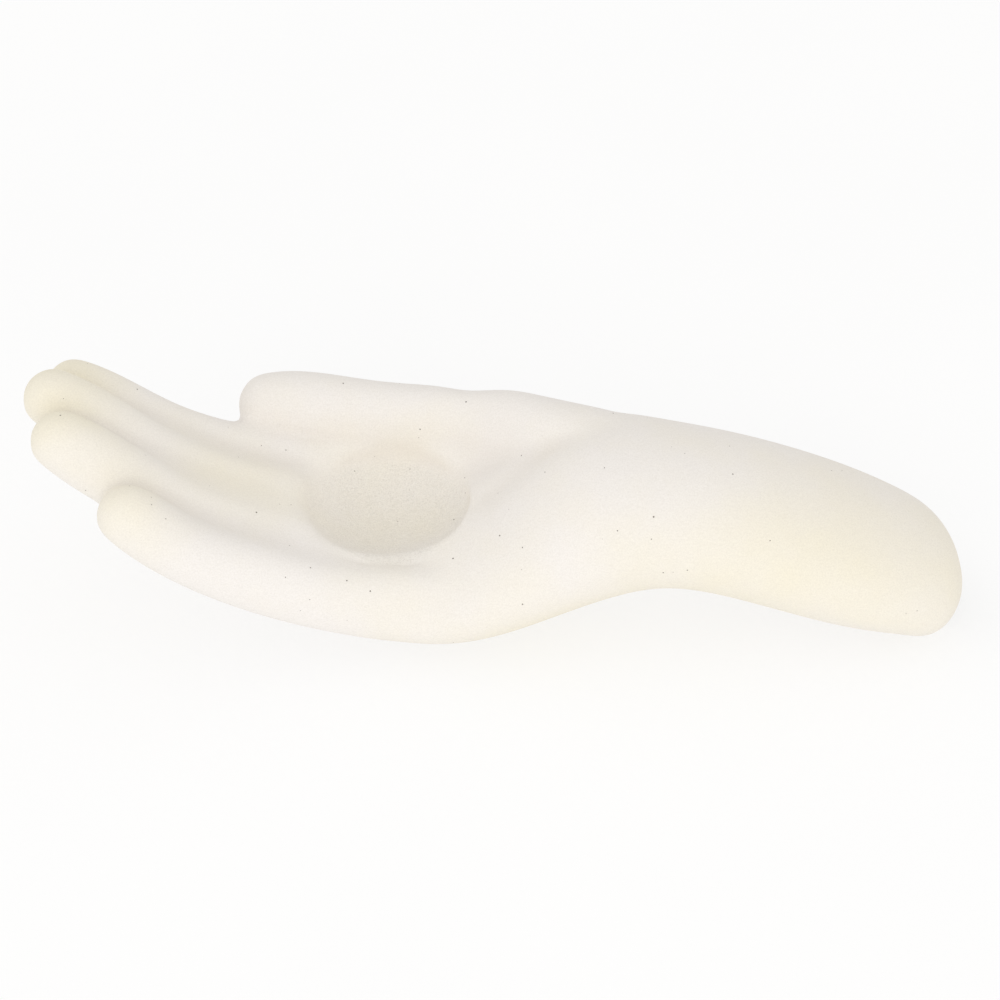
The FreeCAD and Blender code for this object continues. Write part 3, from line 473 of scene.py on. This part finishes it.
def foam_colour(n, bare, grain, pit):
    """Body tone, warmer in patches and clouds, then bare cells, painted shade in the hollows, grain and pinholes
    over it.
    """
    clouds = n.ranged(n.noise(38, 4), 0.35, 0.7, -0.12, 0.16)
    warm_share = n.add("ShaderNodeClamp", Value=n.maths("ADD", n.mask("warmth"), clouds)).outputs[0]
    body = n.blend(warm_share, FRESH_FOAM, WARM_FOAM)
    body = n.blend(n.maths("MULTIPLY", bare, 0.12), body, BARE_FOAM)
    # painted shade: grooves, valleys and the palm below the recess darken by how deep they lie under the broad
    # shape
    body = n.blend(n.ranged(n.mask("hollow"), 0.03, 0.6, 0.0, 0.15), body, HOLLOW_SHADE)
    speck = n.maths("MULTIPLY", n.ranged(grain, 0.3, 0.75, -0.12, 0.12), n.maths("ADD", 1.0, bare))
    body = n.blend(n.maths("ADD", 0.08, speck), body, GRAIN)
    return n.blend(n.maths("MULTIPLY", pit, 0.9), body, PINHOLE)


METALS = {
    # slot: (dark, light, roughness, streak scale)
    "tube_aluminium": (tone(0.52, 0.53, 0.55), tone(0.66, 0.67, 0.69), 0.34, 600),
    "machined_steel": (tone(0.42, 0.42, 0.43), tone(0.58, 0.58, 0.59), 0.26, 900),
    "plate_steel": (tone(0.38, 0.39, 0.40), tone(0.52, 0.53, 0.55), 0.38, 500),
    "zinc_screws": (tone(0.50, 0.51, 0.50), tone(0.70, 0.71, 0.69), 0.30, 1200),
    "spring_steel": (tone(0.24, 0.25, 0.28), tone(0.36, 0.37, 0.41), 0.30, 1000),
    "brass": (tone(0.60, 0.42, 0.16), tone(0.78, 0.58, 0.26), 0.28, 900),
    "wire": (tone(0.46, 0.46, 0.45), tone(0.62, 0.62, 0.61), 0.33, 1400),
}
PLASTICS = {
    # slot: (shade, lighter shade, roughness)
    "nylon": (tone(0.60, 0.58, 0.52), tone(0.70, 0.68, 0.62), 0.48),
    "cap_plastic": (tone(0.10, 0.10, 0.11), tone(0.16, 0.16, 0.17), 0.42),
}


def metal_material(name, dark, light, roughness, scale):
    """Turned or drawn metal: fine streaks, uneven sheen."""
    n = Nodes(name)
    stretch = n.add("ShaderNodeMapping", Vector=n.place(), Scale=(0.15, 1.0, 1.0))
    streaks = n.add("ShaderNodeTexNoise", Vector=stretch.outputs[0], Scale=scale, Detail=4.0).outputs["Fac"]
    smudge = n.noise(60, 3)
    n.feed(n.shader, "Base Color", n.blend(n.ranged(streaks, 0.3, 0.7), dark, light))
    n.feed(n.shader, "Metallic", 1.0)
    n.feed(n.shader, "Roughness", n.ranged(smudge, 0.3, 0.7, roughness - 0.06, roughness + 0.1))
    n.feed(n.shader, "Normal", n.raised(streaks, 0.15, 0.0002))
    return n.material


def plastic_material(name, shade, lighter, roughness):
    """Moulded plastic with a faint orange-peel surface."""
    n = Nodes(name)
    mottled = n.noise(250, 3)
    n.feed(n.shader, "Base Color", n.blend(n.ranged(mottled, 0.3, 0.7), shade, lighter))
    n.feed(n.shader, "Roughness", n.ranged(n.noise(90, 2), 0.3, 0.7, roughness - 0.05, roughness + 0.08))
    n.feed(n.shader, "Normal", n.raised(mottled, 0.12, 0.0003))
    return n.material


def paint(piece, material):
    piece.data.materials.clear()
    piece.data.materials.append(material)


def paint_skeleton():
    made = {slot: metal_material(slot, *values) for slot, values in METALS.items()}
    made.update({slot: plastic_material(slot, *values) for slot, values in PLASTICS.items()})
    for part in frame["record"]["subparts"]:
        if part["node"] in FOAM_NODES:
            continue
        paint(frame["nodes"][part["node"]], made[part["material_slot"]])


WARM_PATCHES = (
    # where, reach on each axis, how much
    ((104, -28, 42), (64, 34, 26), 0.8),  # forearm
    ((160, -5, 15), (25, 40, 30), 0.5),  # forearm end
    ((-155, 26, 84), (30, 24, 22), 1.0),  # index fingertip
    ((-148, -8, 90), (22, 18, 16), 0.8),  # middle and ring fingertips
    ((-126, -31, 72), (18, 16, 14), 0.6),  # little fingertip
    ((-95, 5, 52), (45, 22, 16), 0.6),  # palm side of the fingers
    ((20, -30, 12), (50, 25, 18), 0.9),  # underside of the heel
    ((-32, 34, 50), (18, 10, 12), 0.3),  # ball of the thumb
    ((-37, 3, 35), (30, 30, 12), 0.4),  # recess
)


def tone_masks(piece):
    """Point attributes the foam material reads: where its tone is warmer, and where its cells are bare."""
    points = points_of(piece.data)
    warmth = sum(amount * blob(points, where, reach) for where, reach, amount in WARM_PATCHES)
    across, palm_side = from_recess(points)
    bare = palm_side * (1 - smooth_between(RECESS_RADIUS - 2.5, RECESS_RADIUS + 0.5, across))
    write_attribute(piece.data, "warmth", warmth)
    write_attribute(piece.data, "bare_cells", bare * (0.25 + 0.75 * towards_heel(points)))


# ---------------------------------------------------------------- studio

FLOOR_GAP = 0.5 * MM
FLOOR_GLOW = 0.6  # the floor is lit from below too, so that shadows on it stay faint
SKY_FRONT = (-0.3, -0.87, -0.4)  # where the soft light is brightest
SKY_STRENGTH, SKY_SLOPE = 0.97, 0.13  # at right angles to there, and how much more comes from there
LIGHT_FROM = Vector((-0.1, -1.5, 0.45))  # metres from PALM
CAMERA_TILT = math.radians(38)
CAMERA_REACH = 1.0
CAMERA_AIM = (2.35, 37.1)  # across, and up the picture, from PALM


def floor_material():
    n = Nodes("floor")
    n.feed(n.shader, "Base Color", n.blend(n.noise(6, 3), tone(0.38, 0.38, 0.38), tone(0.40, 0.40, 0.40)))
    n.feed(n.shader, "Emission Color", tone(1.0, 1.0, 1.0))
    n.feed(n.shader, "Emission Strength", FLOOR_GLOW)
    n.feed(n.shader, "Roughness", 0.9)
    n.feed(n.shader, "Specular IOR Level", 0.1)
    return n.material


def floor():
    bm = bmesh.new()
    bmesh.ops.create_grid(bm, x_segments=8, y_segments=8, size=4.0)
    plane = object_from(bm, "floor")
    plane.location.z = cad_box[0].z - FLOOR_GAP
    paint(plane, floor_material())


def sky():
    """Soft light from all round, a little stronger from the front, from below and from the fingers' side."""
    world = bpy.data.worlds.new("studio")
    world.use_nodes = True
    add, link = world.node_tree.nodes.new, world.node_tree.links.new
    towards = add("ShaderNodeTexCoord")
    forward = add("ShaderNodeVectorMath")
    forward.operation = "DOT_PRODUCT"
    forward.inputs[1].default_value = SKY_FRONT
    strength = add("ShaderNodeMath")
    strength.operation = "MULTIPLY_ADD"
    strength.inputs[1].default_value = SKY_SLOPE
    strength.inputs[2].default_value = SKY_STRENGTH
    background = world.node_tree.nodes["Background"]
    background.inputs["Color"].default_value = tone(1.0, 0.995, 0.985)
    link(towards.outputs["Generated"], forward.inputs[0])
    link(forward.outputs["Value"], strength.inputs[0])
    link(strength.outputs["Value"], background.inputs["Strength"])
    bpy.context.scene.world = world


def front_light():
    lamp = bpy.data.lights.new("front_light", "AREA")
    lamp.shape = "DISK"
    lamp.size = 1.6
    lamp.energy = 5.0
    lamp.color = (1.0, 0.985, 0.955)
    made = placed("front_light", lamp)
    made.location = PALM + LIGHT_FROM
    made.rotation_euler = (PALM - made.location).to_track_quat("-Z", "Y").to_euler()


def studio():
    floor()
    sky()
    front_light()
    bpy.context.scene.view_settings.view_transform = "Standard"


def camera():
    lens = bpy.data.cameras.new("camera")
    lens.lens = 100
    lens.sensor_width = 36
    made = placed("camera", lens)
    back = Vector((0, -math.cos(CAMERA_TILT), math.sin(CAMERA_TILT)))
    up = Vector((0, math.sin(CAMERA_TILT), math.cos(CAMERA_TILT)))
    across, above = CAMERA_AIM
    made.location = PALM + Vector((across, 0, 0)) * MM + up * above * MM + back * CAMERA_REACH
    made.rotation_euler = (-back).to_track_quat("-Z", "Y").to_euler()
    bpy.context.scene.camera = made


# ---------------------------------------------------------------- build

def skins():
    skin = voxel_mesh(joined_foam())
    clay = Clay(skin.data)
    sculpt(clay)
    mark_hollows(clay)
    skin = stud_opening(skin)
    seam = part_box("palm_foam")[0].x
    arm = half(skin, "skin_arm", seam, keep_fingers=False)
    fingers = half(skin, "skin_fingers", seam, keep_fingers=True)
    bpy.data.objects.remove(skin)
    foam = foam_material()
    for piece in (arm, fingers):
        tone_masks(piece)
        paint(piece, foam)
    bend_along_x(arm)
    bend_along_x(fingers)
    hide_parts("forearm_foam", "wrist_foam", "palm_foam")
    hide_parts("knuckle_foam", "finger_foam")


def bend_along_x(piece):
    """Bakes a skin's object transform into its mesh."""
    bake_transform(piece)


skins()
paint_skeleton()
studio()
camera()
